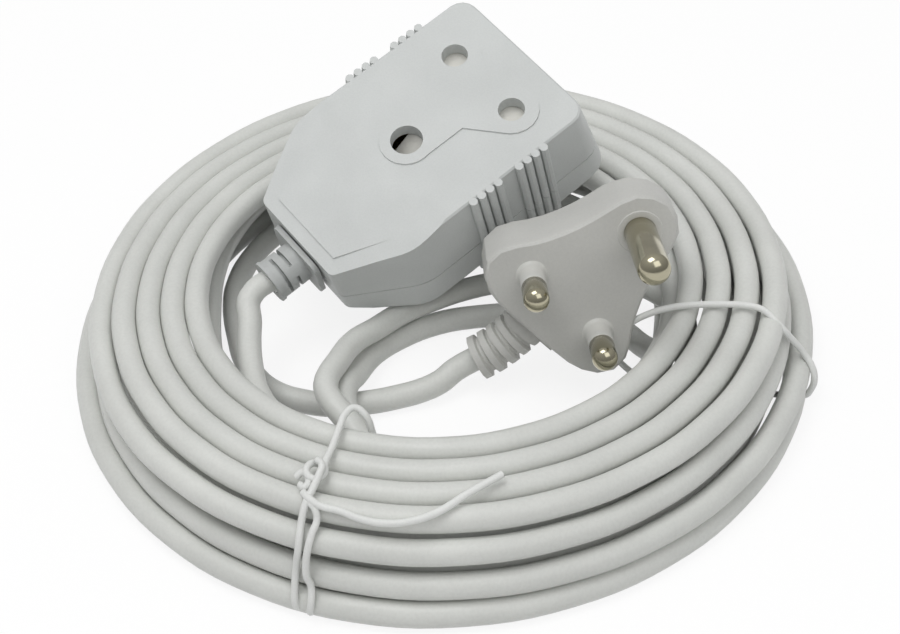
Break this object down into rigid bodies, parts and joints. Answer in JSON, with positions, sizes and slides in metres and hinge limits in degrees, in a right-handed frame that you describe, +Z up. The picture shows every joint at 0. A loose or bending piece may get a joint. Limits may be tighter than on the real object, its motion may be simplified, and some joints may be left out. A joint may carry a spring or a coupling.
{
  "type": "extension cord",
  "caption": "Coiled and tied extension lead with a round-pin plug and a flat two-faced coupler whose spring shutters cover the pin holes.",
  "frame": {"origin": "middle of the three pin holes on the coupler's front socket face", "axes": "+Z up from the ground the coil stands on; +X and +Y level, +X to the picture's right and +Y away from its camera"},
  "size_m": [0.2147, 0.2145, 0.0768],
  "materials": {
    "casing_plastic": "satin light grey moulding",
    "shutter_plastic": "plain off-white moulding",
    "spring_steel": "drawn wire",
    "contact_brass": "stamped and bent",
    "screw_steel": "zinc plated",
    "relief_plastic": "soft light grey moulding",
    "cord_jacket": "smooth extruded sheath",
    "core_live": "smooth insulation",
    "core_neutral": "smooth insulation",
    "core_earth": "smooth insulation",
    "plug_plastic": "satin grey moulding",
    "pin_metal": "nickel plated and polished",
    "sleeve_plastic": "thin moulded sleeve",
    "tie_plastic": "white coated wire"
  },
  "bodies": {
    "lead": {"coupler_front_shell": "casing_plastic", "coupler_back_shell": "casing_plastic", "front_shutter_spring": "spring_steel", "back_shutter_spring": "spring_steel", "live_contact": "contact_brass", "neutral_contact": "contact_brass", "earth_contact": "contact_brass", "live_terminal_screw": "screw_steel", "neutral_terminal_screw": "screw_steel", "earth_terminal_screw": "screw_steel", "cord_clamp": "casing_plastic", "clamp_screw_left": "screw_steel", "clamp_screw_right": "screw_steel", "shell_screw_1": "screw_steel", "shell_screw_2": "screw_steel", "shell_screw_3": "screw_steel", "shell_screw_4": "screw_steel", "coupler_strain_relief": "relief_plastic", "coupler_cord_tail": "cord_jacket", "coupler_live_core": "core_live", "coupler_neutral_core": "core_neutral", "coupler_earth_core": "core_earth", "plug_body": "plug_plastic", "pin_bridge": "shutter_plastic", "earth_pin": "pin_metal", "live_pin": "pin_metal", "neutral_pin": "pin_metal", "live_pin_sleeve": "sleeve_plastic", "neutral_pin_sleeve": "sleeve_plastic", "plug_cord_tail": "cord_jacket", "plug_live_core": "core_live", "plug_neutral_core": "core_neutral", "plug_earth_core": "core_earth", "cord_coil": "cord_jacket", "plug_lead": "cord_jacket", "coupler_lead": "cord_jacket", "front_tie": "tie_plastic", "right_tie": "tie_plastic"},
    "front_shutter": {"front_shutter": "shutter_plastic"},
    "back_shutter": {"back_shutter": "shutter_plastic"}
  },
  "joints": [
    {"name": "front_shutter_slide", "type": "slide", "parent": "lead", "child": "front_shutter", "axis": [0.8004, 0.5306, 0.2788], "range_m": [0, 0.0072], "stiffness_N_per_m": 100, "springref_m": -0.001, "deforming": ["front_shutter_spring"]},
    {"name": "back_shutter_slide", "type": "slide", "parent": "lead", "child": "back_shutter", "axis": [-0.8004, -0.5306, -0.2788], "range_m": [0, 0.0072], "stiffness_N_per_m": 100, "springref_m": -0.001, "deforming": ["back_shutter_spring"]}
  ]
}
